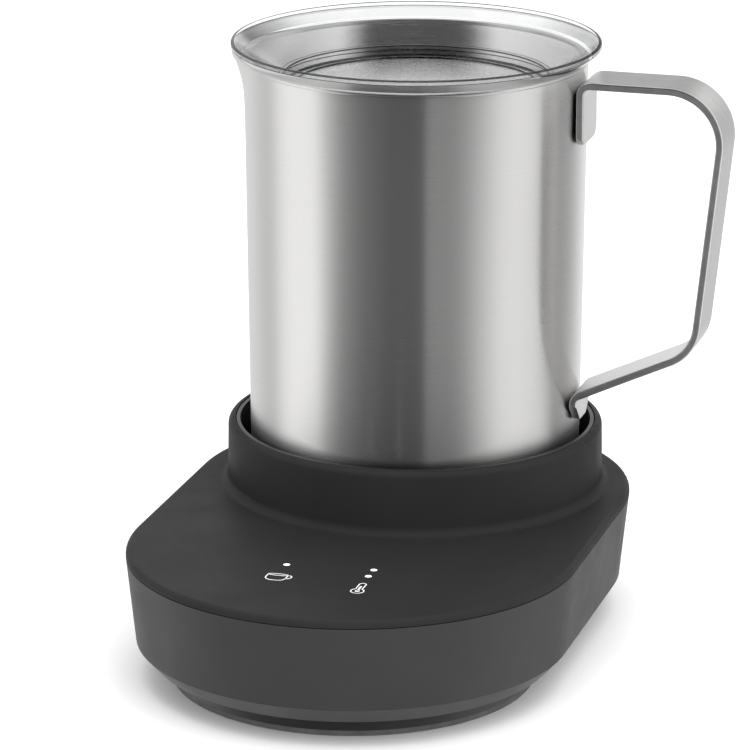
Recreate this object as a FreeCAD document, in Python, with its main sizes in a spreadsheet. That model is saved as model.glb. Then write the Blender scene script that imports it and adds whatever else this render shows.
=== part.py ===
import FreeCAD, Part
import math
import os
import Sketcher

# Milk frother: a powered base with a round socket, a steel jug with a strap handle,
# a magnetic whisk and a clear lid.
# Frame: millimetres, +Z up, floor at zero, Z axis through the middle of the jug.
# The controls are at the front (-Y), the handle is at +X and the spout at -X.

os.makedirs("parts", exist_ok=True)
doc = FreeCAD.newDocument("MilkFrother")
Vector = FreeCAD.Vector
Constraint = Sketcher.Constraint

DIMS = {
    # base outline: two half circles joined by straight sides
    "half_width": 64.8,
    "front_centre": 65.0,
    "back_centre": 4.0,
    "deck_top": 38.1,
    "deck_edge": 1.5,
    "seam_level": 36.0,
    "seam_gap": 0.25,
    "draft_half": 62.2,
    "draft_level": 11.2,
    "chamfer_half": 57.6,
    "chamfer_level": 6.2,
    "opening_half": 52.6,
    "sill_level": 8.6,
    "hollow_half": 56.4,
    "hollow_mid_half": 59.8,
    "hollow_mid_level": 12.0,
    "hollow_top_half": 62.4,
    # bottom tray and foot
    "foot_height": 1.6,
    "foot_half": 52.0,
    "foot_inner_half": 49.4,
    "tray_half": 52.3,
    "tray_inner_half": 49.8,
    "tray_floor": 4.0,
    "flange_half": 55.6,
    "flange_top": 10.2,
    "skirt_half": 61.4,
    "skirt_inner_half": 59.6,
    "skirt_level": 32.5,
    # screws and posts
    "screw_side": 39.0,
    "screw_back": 19.0,
    "screw_front": 88.0,
    "post_radius": 3.6,
    "boss_radius": 4.6,
    "boss_top": 9.0,
    "pilot_radius": 1.3,
    "pilot_top": 24.0,
    "screw_radius": 1.2,
    "screw_tip": 22.0,
    "screw_hole": 1.7,
    "head_radius": 2.8,
    "head_hole": 3.2,
    "head_seat": 4.6,
    "head_height": 2.0,
    # collar and socket
    "collar_radius": 55.4,
    "collar_foot_radius": 55.7,
    "collar_bore": 53.3,
    "collar_top": 57.2,
    "collar_edge": 1.9,
    "collar_fillet": 2.5,
    "socket_floor": 37.4,
    "socket_hole": 39.5,
    "liner_radius": 53.0,
    "liner_bore": 51.9,
    "liner_top": 57.0,
    "liner_floor": 38.6,
    "plate_radius": 38.0,
    "plate_top": 42.0,
    "plate_low": 38.7,
    "seal_radius": 41.5,
    "seal_top": 39.6,
    "seal_lip": 41.5,
    "element_radius": 28.0,
    "element_width": 6.0,
    "element_low": 34.2,
    "element_bevel": 1.5,
    "cutout_radius": 5.0,
    "cutout_low": 34.5,
    "cutout_offset": 20.0,
    "sensor_radius": 2.5,
    # motor
    "motor_radius": 12.5,
    "motor_bore": 11.5,
    "motor_low": 5.5,
    "motor_cap_top": 7.5,
    "motor_roof": 23.0,
    "motor_top": 24.0,
    "bush_radius": 3.0,
    "bush_bore": 1.06,
    "upper_bush_low": 22.4,
    "upper_bush_top": 25.0,
    "lower_bush_low": 6.0,
    "lower_bush_top": 8.6,
    "shaft_radius": 1.0,
    "shaft_low": 6.4,
    "shaft_top": 33.0,
    "armature_radius": 9.2,
    "armature_low": 10.0,
    "armature_top": 20.0,
    "spacer_top": 21.8,
    "field_bore": 9.8,
    "bracket_top": 25.5,
    "bracket_side": 20.0,
    "bracket_post": 3.2,
    "bracket_end": 4.5,
    "bracket_screw_low": 12.0,
    "carrier_radius": 13.5,
    "carrier_low": 28.5,
    "carrier_top": 36.4,
    "carrier_edge": 31.3,
    "magnet_level": 32.8,
    "magnet_top": 36.2,
    "magnet_radius": 12.4,
    "magnet_bore": 6.0,
    # controls and power
    "board_half": 30.0,
    "board_front": 112.0,
    "board_back": 80.0,
    "board_low": 29.0,
    "board_top": 30.6,
    "board_post_side": 26.0,
    "board_post_front": 108.0,
    "board_post_back": 83.0,
    "touch_side": 12.5,
    "touch_front": 99.5,
    "touch_radius": 6.0,
    "dot_radius": 0.95,
    "dot_hole": 1.0,
    "guide_low": 31.4,
    "guide_bar_low": 32.4,
    "guide_bar_top": 34.0,
    "guide_bar_half": 15.0,
    "guide_bar_front": 92.0,
    "guide_bar_back": 83.5,
    "cup_dot_side": 13.0,
    "cup_dot_front": 87.2,
    "heat_dot_side": 11.8,
    "heat_dot_front": 90.3,
    "heat_dot_back": 84.8,
    "power_low": 12.0,
    "power_top": 13.6,
    "power_half": 34.0,
    "power_front": 102.0,
    "power_back": 50.0,
    "power_post_side": 30.0,
    "power_post_front": 97.0,
    "power_post_back": 55.0,
    "small_post": 2.2,
    "transformer_near": 8.0,
    "transformer_far": 26.0,
    "transformer_front": 70.0,
    "transformer_back": 52.0,
    "transformer_top": 28.6,
    "relay_near": 16.0,
    "relay_far": 30.0,
    "relay_front": 72.0,
    "relay_back": 60.0,
    "relay_top": 25.6,
    "capacitor_radius": 5.0,
    "capacitor_side": 4.0,
    "capacitor_front": 62.0,
    "capacitor_top": 27.6,
    "buzzer_radius": 6.0,
    "buzzer_side": 20.0,
    "buzzer_front": 88.0,
    "buzzer_top": 18.6,
    # cord inlet
    "inlet_level": 22.0,
    "inlet_bore": 3.5,
    "inlet_radius": 5.5,
    "inlet_hole": 5.6,
    "inlet_flange": 8.0,
    "inlet_end": 61.0,
    "inlet_start": 52.0,
    "pad_back": 57.0,
    "pad_front": 54.0,
    "pad_half": 11.0,
    "pad_top": 32.0,
    # jug
    "jug_radius": 50.0,
    "jug_low_radius": 48.6,
    "jug_wall": 1.0,
    "jug_rim": 166.5,
    "jug_floor_under": 44.4,
    "jug_floor": 45.4,
    "jug_corner": 4.0,
    "jug_corner_cut": 1.2,
    "inside_floor_radius": 44.2,
    "inside_corner_radius": 46.7,
    "inside_corner_level": 46.3,
    "inside_wall_level": 48.8,
    "disc_radius": 44.0,
    "disc_low": 42.1,
    "disc_bevel": 1.0,
    "spout_centre": 22.0,
    "spout_low": 27.5,
    "spout_low_level": 144.0,
    "spout_mid": 29.3,
    "spout_mid_level": 158.0,
    "spout_top": 33.0,
    "pin_radius": 2.0,
    "pin_top": 58.0,
    "pin_bevel": 0.8,
    # handle strap, measured along its middle line
    "strap_half_width": 8.6,
    "strap_half_thick": 1.1,
    "strap_edge": 0.5,
    "high_tab": 50.9,
    "high_tab_end": 144.5,
    "high_run": 162.4,
    "high_reach": 93.5,
    "low_reach": 85.4,
    "low_reach_level": 85.4,
    "low_tab": 50.0,
    "low_tab_level": 69.1,
    "low_tab_end": 61.5,
    "tab_bend": 3.0,
    "high_bend": 15.4,
    "low_bend": 12.9,
    "high_tab_corner": 3.5,
    "low_tab_corner": 5.0,
    # lid
    "lid_radius": 53.8,
    "lid_top": 171.1,
    "lid_edge_low": 169.9,
    "lid_top_inner": 52.9,
    "lid_floor": 157.5,
    "lid_under": 155.9,
    "lid_seat": 166.9,
    "lid_seat_outer": 50.8,
    "lid_flare_inner": 49.7,
    "lid_flare_level": 168.1,
    "lid_plug": 48.3,
    "lid_plug_level": 165.2,
    "lid_step": 38.5,
    "lid_step_outer": 40.1,
    "lid_shelf": 39.7,
    "lid_step_top": 160.8,
    "lid_step_low": 159.2,
    "lid_ring_inner": 35.6,
    "lid_ring_outer": 36.4,
    "lid_ring_top": 157.9,
    # whisk
    "whisk_bore": 2.06,
    "whisk_low": 46.2,
    "whisk_disc_top": 50.6,
    "whisk_disc": 10.5,
    "whisk_neck": 4.2,
    "whisk_neck_low": 52.1,
    "whisk_top": 57.0,
    "whisk_magnet_top": 49.4,
    "whisk_magnet_bore": 4.6,
    "whisk_magnet_radius": 9.4,
    "froth_radius": 15.5,
    "froth_wire": 1.1,
    "froth_level": 48.8,
    "arm_radius": 0.9,
}

ELEMENT_SWEEP = 320
ARM_COUNT = 4
NEAR = 0.01

sheet = doc.addObject("Spreadsheet::Sheet", "Dims")
for row, (name, size) in enumerate(DIMS.items(), start=1):
    sheet.set("A%d" % row, name)
    sheet.set("B%d" % row, str(size))
    sheet.setAlias("B%d" % row, name)
doc.recompute()

nodes = []
cuts = []


def value(text):
    """Number for a sum of dimension names such as 'jug_rim - jug_wall'."""
    total = 0.0
    sign = 1.0
    for word in text.split():
        if word == "+":
            sign = 1.0
        elif word == "-":
            sign = -1.0
        else:
            total += sign * (DIMS[word] if word in DIMS else float(word))
            sign = 1.0
    return total


def formula(text):
    """The same sum written for FreeCAD, with the sheet in front of each name."""
    words = ["Dims." + word if word in DIMS else word for word in text.split()]
    return "0 " + " ".join(words) if words[0] == "-" else " ".join(words)


def new_body(name):
    body = doc.addObject("PartDesign::Body", name)
    body.Label = name
    nodes.append(body)
    return body


def add_sketch(body, name, role="XY_Plane", level=None):
    sketch = body.newObject("Sketcher::SketchObject", name)
    plane = next(item for item in body.Origin.OriginFeatures if item.Role == role)
    sketch.AttachmentSupport = [(plane, "")]
    sketch.MapMode = "FlatFace"
    if level:
        sketch.setExpression("AttachmentOffset.Base.z", formula(level))
    return sketch


def bind(sketch, kind, *arguments, size):
    """Add a driving constraint and tie it to the sheet."""
    number = value(size)
    index = sketch.addConstraint(Constraint(kind, *arguments, number))
    sketch.setExpression("Constraints[%d]" % index, formula(size))


def place_point(sketch, geometry, end, across, along):
    """Tie one point of a sketch to two sums of dimensions, zero means on the axis."""
    for kind, text, axis in (("DistanceX", across, -2), ("DistanceY", along, -1)):
        if value(text) == 0:
            sketch.addConstraint(Constraint("PointOnObject", geometry, end, axis))
        elif value(text) > 0:
            bind(sketch, kind, -1, 1, geometry, end, size=text)
        else:
            number = -value(text)
            index = sketch.addConstraint(Constraint(kind, geometry, end, -1, 1, number))
            sketch.setExpression("Constraints[%d]" % index, "-1 * (" + formula(text) + ")")


def add_polygon(sketch, points):
    """Closed outline through points given as pairs of sums."""
    spots = [Vector(value(a), value(b), 0) for a, b in points]
    first = sketch.GeometryCount
    count = len(spots)
    for index in range(count):
        sketch.addGeometry(Part.LineSegment(spots[index], spots[(index + 1) % count]), False)
    for index in range(count):
        following = first + (index + 1) % count
        sketch.addConstraint(Constraint("Coincident", first + index, 2, following, 1))
    for index, (across, along) in enumerate(points):
        place_point(sketch, first + index, 1, across, along)


def add_circle(sketch, radius, across="0", along="0"):
    centre = Vector(value(across), value(along), 0)
    circle = Part.Circle(centre, Vector(0, 0, 1), value(radius))
    index = sketch.addGeometry(circle, False)
    bind(sketch, "Radius", index, size=radius)
    place_point(sketch, index, 3, across, along)


def add_stadium(sketch, half):
    """Base outline: two half circles of the given half width joined by straight sides."""
    side = value(half)
    front = -value("front_centre")
    back = -value("back_centre")
    normal = Vector(0, 0, 1)
    front_circle = Part.Circle(Vector(0, front, 0), normal, side)
    back_circle = Part.Circle(Vector(0, back, 0), normal, side)
    right = Part.LineSegment(Vector(side, front, 0), Vector(side, back, 0))
    left = Part.LineSegment(Vector(-side, back, 0), Vector(-side, front, 0))
    first = sketch.GeometryCount
    sketch.addGeometry(right, False)
    sketch.addGeometry(Part.ArcOfCircle(back_circle, 0, math.pi), False)
    sketch.addGeometry(left, False)
    sketch.addGeometry(Part.ArcOfCircle(front_circle, math.pi, 2 * math.pi), False)
    joins = ((0, 2, 1, 1), (1, 2, 2, 1), (2, 2, 3, 1), (3, 2, 0, 1))
    for one, one_end, two, two_end in joins:
        sketch.addConstraint(Constraint("Tangent", first + one, one_end, first + two, two_end))
    bind(sketch, "Radius", first + 1, size=half)
    place_point(sketch, first + 1, 3, "0", "- back_centre")
    place_point(sketch, first + 3, 3, "0", "- front_centre")


def add_rounded_path(sketch, corners):
    """Open path of straight runs, each inner corner rounded by its own bend radius."""
    spots = [Vector(value(a), value(b), 0) for a, b, radius in corners]
    runs = len(spots) - 1
    for index in range(runs):
        sketch.addGeometry(Part.LineSegment(spots[index], spots[index + 1]), True)
    for index in range(1, runs):
        sketch.addConstraint(Constraint("Coincident", index - 1, 2, index, 1))
    for index in range(runs):
        place_point(sketch, index, 1, corners[index][0], corners[index][1])
    place_point(sketch, runs - 1, 2, corners[runs][0], corners[runs][1])
    starts = [spots[0]]
    ends = []
    arcs = []
    for index in range(1, runs):
        before = (spots[index - 1] - spots[index]).normalize()
        after = (spots[index + 1] - spots[index]).normalize()
        radius = value(corners[index][2])
        half_angle = before.getAngle(after) / 2
        reach = radius / math.tan(half_angle)
        middle = (before + after).normalize() * (radius / math.sin(half_angle))
        centre = spots[index] + middle
        enter = spots[index] + before * reach
        leave = spots[index] + after * reach
        summit = centre - middle.normalize() * radius
        ends.append(enter)
        starts.append(leave)
        arcs.append(Part.Arc(enter, summit, leave))
    ends.append(spots[-1])
    lines = []
    for start, end in zip(starts, ends):
        lines.append(sketch.addGeometry(Part.LineSegment(start, end), False))
    for index, line in enumerate(lines):
        if index > 0:
            sketch.addConstraint(Constraint("PointOnObject", line, 1, index))
        if index < runs - 1:
            sketch.addConstraint(Constraint("PointOnObject", line, 2, index))
    sketch.addConstraint(Constraint("Coincident", lines[0], 1, 0, 1))
    sketch.addConstraint(Constraint("Coincident", lines[-1], 2, runs - 1, 2))
    for index, arc in enumerate(arcs):
        curve = sketch.addGeometry(arc, False)
        enter = ends[index]
        begins = sketch.getPoint(curve, 1).distanceToPoint(enter) < NEAR
        near, far = (1, 2) if begins else (2, 1)
        sketch.addConstraint(Constraint("Tangent", lines[index], 2, curve, near))
        sketch.addConstraint(Constraint("Tangent", curve, far, lines[index + 1], 1))
        bind(sketch, "Radius", curve, size=corners[index + 1][2])


def pad(body, sketch, length, name):
    """Pad upward by the given sum and make it the tip."""
    feature = body.newObject("PartDesign::Pad", name)
    feature.Profile = sketch
    feature.setExpression("Length", formula(length))
    sketch.Visibility = False
    body.Tip = feature
    doc.recompute()
    return feature


def pocket(body, sketch, length, name, upward=False):
    """Cut downward, or upward, by the given sum and note the volume it removed."""
    before = body.Shape.Volume
    feature = body.newObject("PartDesign::Pocket", name)
    feature.Profile = sketch
    feature.setExpression("Length", formula(length))
    feature.Reversed = upward
    sketch.Visibility = False
    body.Tip = feature
    doc.recompute()
    cuts.append((body.Label + " " + name, before - body.Shape.Volume))
    return feature


def turn(body, sketch, name, cut=False):
    """Revolve a sketch about the vertical axis of the body."""
    kind = "PartDesign::Groove" if cut else "PartDesign::Revolution"
    before = body.Shape.Volume if cut else 0
    feature = body.newObject(kind, name)
    feature.Profile = sketch
    feature.ReferenceAxis = (sketch, ["V_Axis"])
    feature.Angle = 360
    sketch.Visibility = False
    body.Tip = feature
    doc.recompute()
    if cut:
        cuts.append((body.Label + " " + name, before - body.Shape.Volume))
    return feature


def loft(body, sketches, name, cut=False, ruled=True):
    kind = "PartDesign::SubtractiveLoft" if cut else "PartDesign::AdditiveLoft"
    before = body.Shape.Volume if cut else 0
    feature = body.newObject(kind, name)
    feature.Profile = sketches[0]
    feature.Sections = sketches[1:]
    feature.Ruled = ruled
    body.Tip = feature
    doc.recompute()
    if cut:
        cuts.append((body.Label + " " + name, before - body.Shape.Volume))
    return feature


def dress(body, kind, size, name, wanted):
    """Fillet or chamfer the edges of the body picked by a test on the edge."""
    last = body.Tip
    names = []
    for index, edge in enumerate(last.Shape.Edges, start=1):
        if wanted(edge):
            names.append("Edge%d" % index)
    feature = body.newObject("PartDesign::" + kind, name)
    feature.Base = (last, names)
    feature.setExpression("Radius" if kind == "Fillet" else "Size", formula(size))
    body.Tip = feature
    doc.recompute()
    return feature


def stadium_sketch(body, name, half, level, inner=None):
    sketch = add_sketch(body, name, level=level)
    add_stadium(sketch, half)
    if inner:
        add_stadium(sketch, inner)
    return sketch


def round_sketch(body, name, level, radius, spots):
    sketch = add_sketch(body, name, level=level)
    for across, along in spots:
        add_circle(sketch, radius, across, along)
    return sketch


def turned_node(name, points):
    """A whole node made by revolving one outline of (radius, level) points."""
    body = new_body(name)
    outline = add_sketch(body, name + "_outline", "XZ_Plane")
    add_polygon(outline, points)
    turn(body, outline, name + "_turned")
    return body


def tube_points(inner, outer, low, top):
    return [(inner, low), (outer, low), (outer, top), (inner, top)]


def block_node(name, left, right, front, back, low, top):
    """A plain rectangular node; front is the distance towards the controls."""
    body = new_body(name)
    outline = add_sketch(body, name + "_outline", level=low)
    corners = [(left, front), (right, front), (right, back), (left, back)]
    add_polygon(outline, corners)
    pad(body, outline, top + " - " + low, name + "_block")
    return body


def shift(body, across, along):
    """Move a node sideways to a place given by two sums."""
    for axis, text in (("x", across), ("y", along)):
        if value(text) != 0:
            body.setExpression("Placement.Base." + axis, formula(text))


CASE_SCREWS = [
    ("screw_side", "screw_back"),
    ("- screw_side", "screw_back"),
    ("screw_side", "- screw_front"),
    ("- screw_side", "- screw_front"),
]
BOARD_POSTS = [
    ("board_post_side", "- board_post_front"),
    ("- board_post_side", "- board_post_front"),
    ("board_post_side", "- board_post_back"),
    ("- board_post_side", "- board_post_back"),
]
POWER_POSTS = [
    ("power_post_side", "- power_post_front"),
    ("- power_post_side", "- power_post_front"),
    ("power_post_side", "- power_post_back"),
    ("- power_post_side", "- power_post_back"),
]
BRACKET_POSTS = [("bracket_side", "0"), ("- bracket_side", "0")]
DOTS = [
    ("- cup_dot_side", "- cup_dot_front"),
    ("heat_dot_side", "- heat_dot_front"),
    ("heat_dot_side", "- heat_dot_back"),
]

# ---------------------------------------------------------------- side housing
housing = new_body("side_housing")
outer = [
    stadium_sketch(housing, "wall_bottom", "chamfer_half", "chamfer_level"),
    stadium_sketch(housing, "wall_middle", "draft_half", "draft_level"),
    stadium_sketch(housing, "wall_top", "half_width", "seam_level - seam_gap"),
]
loft(housing, outer, "wall")
inner = [
    stadium_sketch(housing, "hollow_bottom", "hollow_half", "sill_level"),
    stadium_sketch(housing, "hollow_middle", "hollow_mid_half", "hollow_mid_level"),
    stadium_sketch(housing, "hollow_top", "hollow_top_half", "seam_level - seam_gap"),
]
loft(housing, inner, "hollow", cut=True)
mouth = stadium_sketch(housing, "mouth_outline", "opening_half", "sill_level")
pocket(housing, mouth, "sill_level - chamfer_level", "mouth")
inlet_pad = add_sketch(housing, "inlet_pad_outline", level="hollow_mid_level")
add_polygon(inlet_pad, [("- pad_half", "pad_front"), ("pad_half", "pad_front"),
                        ("pad_half", "pad_back"), ("- pad_half", "pad_back")])
pad(housing, inlet_pad, "pad_top - hollow_mid_level", "inlet_pad")
inlet = add_sketch(housing, "inlet_outline", "XZ_Plane")
add_circle(inlet, "inlet_hole", "0", "inlet_level")
pocket(housing, inlet, "half_width", "inlet_hole")

# ---------------------------------------------------------------- top cover
cover = new_body("top_cover")
deck = stadium_sketch(cover, "deck_outline", "half_width", "seam_level")
pad(cover, deck, "deck_top - seam_level", "deck")
skirt = stadium_sketch(cover, "skirt_outline", "skirt_half", "skirt_level", "skirt_inner_half")
pad(cover, skirt, "seam_level - skirt_level", "skirt")
collar = add_sketch(cover, "collar_outline", "XZ_Plane")
add_polygon(collar, [("socket_hole", "seam_level"), ("collar_foot_radius", "seam_level"),
                     ("collar_foot_radius", "deck_top"), ("collar_radius", "collar_top"),
                     ("socket_hole", "collar_top")])
turn(cover, collar, "collar")
socket = add_sketch(cover, "socket_outline", "XZ_Plane")
add_polygon(socket, [("0", "seam_level"), ("socket_hole", "seam_level"),
                     ("socket_hole", "socket_floor"), ("collar_bore", "socket_floor"),
                     ("collar_bore", "collar_top"), ("0", "collar_top")])
turn(cover, socket, "socket", cut=True)
posts = round_sketch(cover, "post_outline", "boss_top", "post_radius", CASE_SCREWS)
pad(cover, posts, "seam_level - boss_top", "posts")
pilots = round_sketch(cover, "pilot_outline", "boss_top", "pilot_radius", CASE_SCREWS)
pocket(cover, pilots, "pilot_top - boss_top", "pilots", upward=True)
hangers = round_sketch(cover, "hanger_outline", "board_top", "small_post", BOARD_POSTS)
pad(cover, hangers, "seam_level - board_top", "hangers")
windows = round_sketch(cover, "window_outline", "deck_top", "dot_hole", DOTS)
pocket(cover, windows, "deck_top - seam_level", "windows")


def is_circle(edge, radius):
    curve = edge.Curve
    return isinstance(curve, Part.Circle) and abs(curve.Radius - value(radius)) < NEAR


def is_level(edge, level):
    box = edge.BoundBox
    return box.ZLength < NEAR and abs(box.ZMin - value(level)) < NEAR


def is_collar_rim(edge):
    return is_level(edge, "collar_top") and is_circle(edge, "collar_radius")


def is_collar_foot(edge):
    return is_level(edge, "deck_top") and is_circle(edge, "collar_foot_radius")


def is_deck_rim(edge):
    straight = isinstance(edge.Curve, Part.Line)
    return is_level(edge, "deck_top") and (straight or is_circle(edge, "half_width"))


dress(cover, "Fillet", "collar_edge", "collar_rounding", is_collar_rim)
dress(cover, "Fillet", "collar_fillet", "collar_root", is_collar_foot)
dress(cover, "Fillet", "deck_edge", "deck_rounding", is_deck_rim)

# ---------------------------------------------------------------- bottom tray
tray = new_body("bottom_cover")
tray_block = stadium_sketch(tray, "tray_outline", "tray_half", "foot_height")
pad(tray, tray_block, "flange_top - foot_height", "tray_block")
flange = stadium_sketch(tray, "flange_outline", "flange_half", "sill_level")
pad(tray, flange, "flange_top - sill_level", "flange")
tray_hollow = stadium_sketch(tray, "tray_hollow_outline", "tray_inner_half", "flange_top")
pocket(tray, tray_hollow, "flange_top - tray_floor", "tray_hollow")
bosses = round_sketch(tray, "boss_outline", "tray_floor", "boss_radius", CASE_SCREWS)
pad(tray, bosses, "boss_top - tray_floor", "bosses")
power_posts = round_sketch(tray, "power_post_outline", "tray_floor", "small_post", POWER_POSTS)
pad(tray, power_posts, "power_low - tray_floor", "power_posts")
motor_posts = round_sketch(tray, "motor_post_outline", "tray_floor", "bracket_post", BRACKET_POSTS)
pad(tray, motor_posts, "motor_top - tray_floor", "motor_posts")
motor_seat = add_sketch(tray, "motor_seat_outline", level="tray_floor")
add_circle(motor_seat, "motor_radius")
pad(tray, motor_seat, "motor_low - tray_floor", "motor_seat")
head_holes = round_sketch(tray, "head_hole_outline", "foot_height", "head_hole", CASE_SCREWS)
pocket(tray, head_holes, "head_seat - foot_height", "head_holes", upward=True)
screw_holes = round_sketch(tray, "screw_hole_outline", "foot_height", "screw_hole", CASE_SCREWS)
pocket(tray, screw_holes, "boss_top - foot_height", "screw_holes", upward=True)
tapped = round_sketch(tray, "tapped_outline", "motor_top", "screw_radius", BRACKET_POSTS)
pocket(tray, tapped, "motor_top - sill_level", "tapped")

foot = new_body("foot_ring")
foot_outline = stadium_sketch(foot, "foot_outline", "foot_half", None, "foot_inner_half")
pad(foot, foot_outline, "foot_height", "foot_band")

for number, (across, along) in enumerate(CASE_SCREWS, start=1):
    screw = turned_node("case_screw_%d" % number, [
        ("0", "head_seat - head_height"), ("head_radius", "head_seat - head_height"),
        ("head_radius", "head_seat"), ("screw_radius", "head_seat"),
        ("screw_radius", "screw_tip"), ("0", "screw_tip")])
    shift(screw, across, along)

# ---------------------------------------------------------------- socket and heating
turned_node("socket_liner", [
    ("socket_hole", "socket_floor"), ("liner_radius", "socket_floor"),
    ("liner_radius", "liner_top"), ("liner_bore", "liner_top"),
    ("liner_bore", "liner_floor"), ("socket_hole", "liner_floor")])
turned_node("plate_seal", [
    ("plate_radius", "socket_floor"), ("socket_hole", "socket_floor"),
    ("socket_hole", "liner_floor"), ("seal_radius", "liner_floor"),
    ("seal_radius", "seal_top"), ("plate_radius", "seal_lip")])

plate = new_body("heater_plate")
plate_outline = add_sketch(plate, "plate_outline", level="plate_low")
add_circle(plate_outline, "plate_radius")
pad(plate, plate_outline, "plate_top - plate_low", "plate_disc")

element = new_body("heating_element")
element_outline = add_sketch(element, "element_outline", "XZ_Plane")
add_polygon(element_outline, [
    ("element_radius", "plate_low"), ("element_radius", "element_low + element_bevel"),
    ("element_radius + element_bevel", "element_low"),
    ("element_radius + element_width - element_bevel", "element_low"),
    ("element_radius + element_width", "element_low + element_bevel"),
    ("element_radius + element_width", "plate_low")])
ring = turn(element, element_outline, "element_ring")
ring.Angle = ELEMENT_SWEEP

cutout = new_body("thermal_cutout")
cutout_outline = add_sketch(cutout, "cutout_outline", level="cutout_low")
add_circle(cutout_outline, "cutout_radius")
pad(cutout, cutout_outline, "plate_low - cutout_low", "cutout_body")
shift(cutout, "- cutout_offset", "0")

sensor = new_body("temperature_sensor")
sensor_outline = add_sketch(sensor, "sensor_outline", level="cutout_low")
add_circle(sensor_outline, "sensor_radius")
pad(sensor, sensor_outline, "plate_low - cutout_low", "sensor_body")
shift(sensor, "0", "cutout_offset")

# ---------------------------------------------------------------- motor and drive
turned_node("motor_can", [
    ("motor_bore", "motor_cap_top"), ("motor_radius", "motor_cap_top"),
    ("motor_radius", "motor_top"), ("bush_radius", "motor_top"),
    ("bush_radius", "motor_roof"), ("motor_bore", "motor_roof")])
turned_node("motor_end_cap", [
    ("bush_radius", "motor_low"), ("motor_radius", "motor_low"),
    ("motor_radius", "motor_cap_top"), ("bush_radius", "motor_cap_top")])
turned_node("motor_field_magnet",
            tube_points("field_bore", "motor_bore", "armature_low", "armature_top"))
turned_node("upper_bush",
            tube_points("bush_bore", "bush_radius", "upper_bush_low", "upper_bush_top"))
turned_node("lower_bush",
            tube_points("bush_bore", "bush_radius", "lower_bush_low", "lower_bush_top"))
turned_node("motor_shaft", [
    ("0", "shaft_low"), ("shaft_radius", "shaft_low"),
    ("shaft_radius", "shaft_top"), ("0", "shaft_top")])
turned_node("armature", [
    ("shaft_radius", "armature_low"), ("armature_radius", "armature_low"),
    ("armature_radius", "armature_top"), ("bush_radius", "armature_top"),
    ("bush_radius", "spacer_top"), ("shaft_radius", "spacer_top")])
turned_node("magnet_carrier", [
    ("shaft_radius", "carrier_low"), ("bush_radius", "carrier_low"),
    ("carrier_radius", "carrier_edge"), ("carrier_radius", "carrier_top"),
    ("magnet_radius", "carrier_top"), ("magnet_radius", "magnet_level"),
    ("magnet_bore", "magnet_level"), ("magnet_bore", "carrier_top"),
    ("0", "carrier_top"), ("0", "shaft_top"), ("shaft_radius", "shaft_top")])
turned_node("drive_magnet",
            tube_points("magnet_bore", "magnet_radius", "magnet_level", "magnet_top"))

bracket = new_body("motor_bracket")
bracket_outline = add_sketch(bracket, "bracket_outline", level="motor_top")
add_polygon(bracket_outline, [
    ("- bracket_side - bracket_end", "- bracket_end"),
    ("bracket_side + bracket_end", "- bracket_end"),
    ("bracket_side + bracket_end", "bracket_end"),
    ("- bracket_side - bracket_end", "bracket_end")])
add_circle(bracket_outline, "bush_radius")
for across, along in BRACKET_POSTS:
    add_circle(bracket_outline, "screw_hole", across, along)
pad(bracket, bracket_outline, "bracket_top - motor_top", "bracket_strip")

for name, (across, along) in zip(("bracket_screw_right", "bracket_screw_left"), BRACKET_POSTS):
    screw = turned_node(name, [
        ("0", "bracket_screw_low"), ("screw_radius", "bracket_screw_low"),
        ("screw_radius", "bracket_top"), ("head_radius", "bracket_top"),
        ("head_radius", "bracket_top + head_height"), ("0", "bracket_top + head_height")])
    shift(screw, across, along)

# ---------------------------------------------------------------- boards and controls
block_node("control_board", "- board_half", "board_half", "- board_front", "- board_back",
           "board_low", "board_top")
block_node("power_board", "- power_half", "power_half", "- power_front", "- power_back",
           "power_low", "power_top")
block_node("transformer", "- transformer_far", "- transformer_near", "- transformer_front",
           "- transformer_back", "power_top", "transformer_top")
block_node("relay", "relay_near", "relay_far", "- relay_front", "- relay_back",
           "power_top", "relay_top")
capacitor = turned_node("capacitor", tube_points(
    "0", "capacitor_radius", "power_top", "capacitor_top"))
shift(capacitor, "capacitor_side", "- capacitor_front")
buzzer = turned_node("buzzer", tube_points("0", "buzzer_radius", "power_top", "buzzer_top"))
shift(buzzer, "- buzzer_side", "- buzzer_front")

for name, across in (("touch_pad_left", "- touch_side"), ("touch_pad_right", "touch_side")):
    touch = turned_node(name, tube_points("0", "touch_radius", "board_top", "seam_level"))
    shift(touch, across, "- touch_front")

guide = new_body("light_guide")
guide_bar = add_sketch(guide, "guide_bar_outline", level="guide_bar_low")
add_polygon(guide_bar, [
    ("- guide_bar_half", "- guide_bar_front"), ("guide_bar_half", "- guide_bar_front"),
    ("guide_bar_half", "- guide_bar_back"), ("- guide_bar_half", "- guide_bar_back")])
pad(guide, guide_bar, "guide_bar_top - guide_bar_low", "guide_bar")
guide_pins = round_sketch(guide, "guide_pin_outline", "guide_low", "dot_radius", DOTS)
pad(guide, guide_pins, "deck_top - guide_low", "guide_pins")

# ---------------------------------------------------------------- cord inlet
gland = turned_node("cord_gland", [
    ("inlet_bore", "inlet_start"), ("inlet_flange", "inlet_start"),
    ("inlet_flange", "pad_front"), ("inlet_radius", "pad_front"),
    ("inlet_radius", "inlet_end"), ("inlet_bore", "inlet_end")])
gland.Placement = FreeCAD.Placement(Vector(0, 0, 0), FreeCAD.Rotation(Vector(1, 0, 0), -90))
gland.setExpression("Placement.Base.z", formula("inlet_level"))

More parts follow.
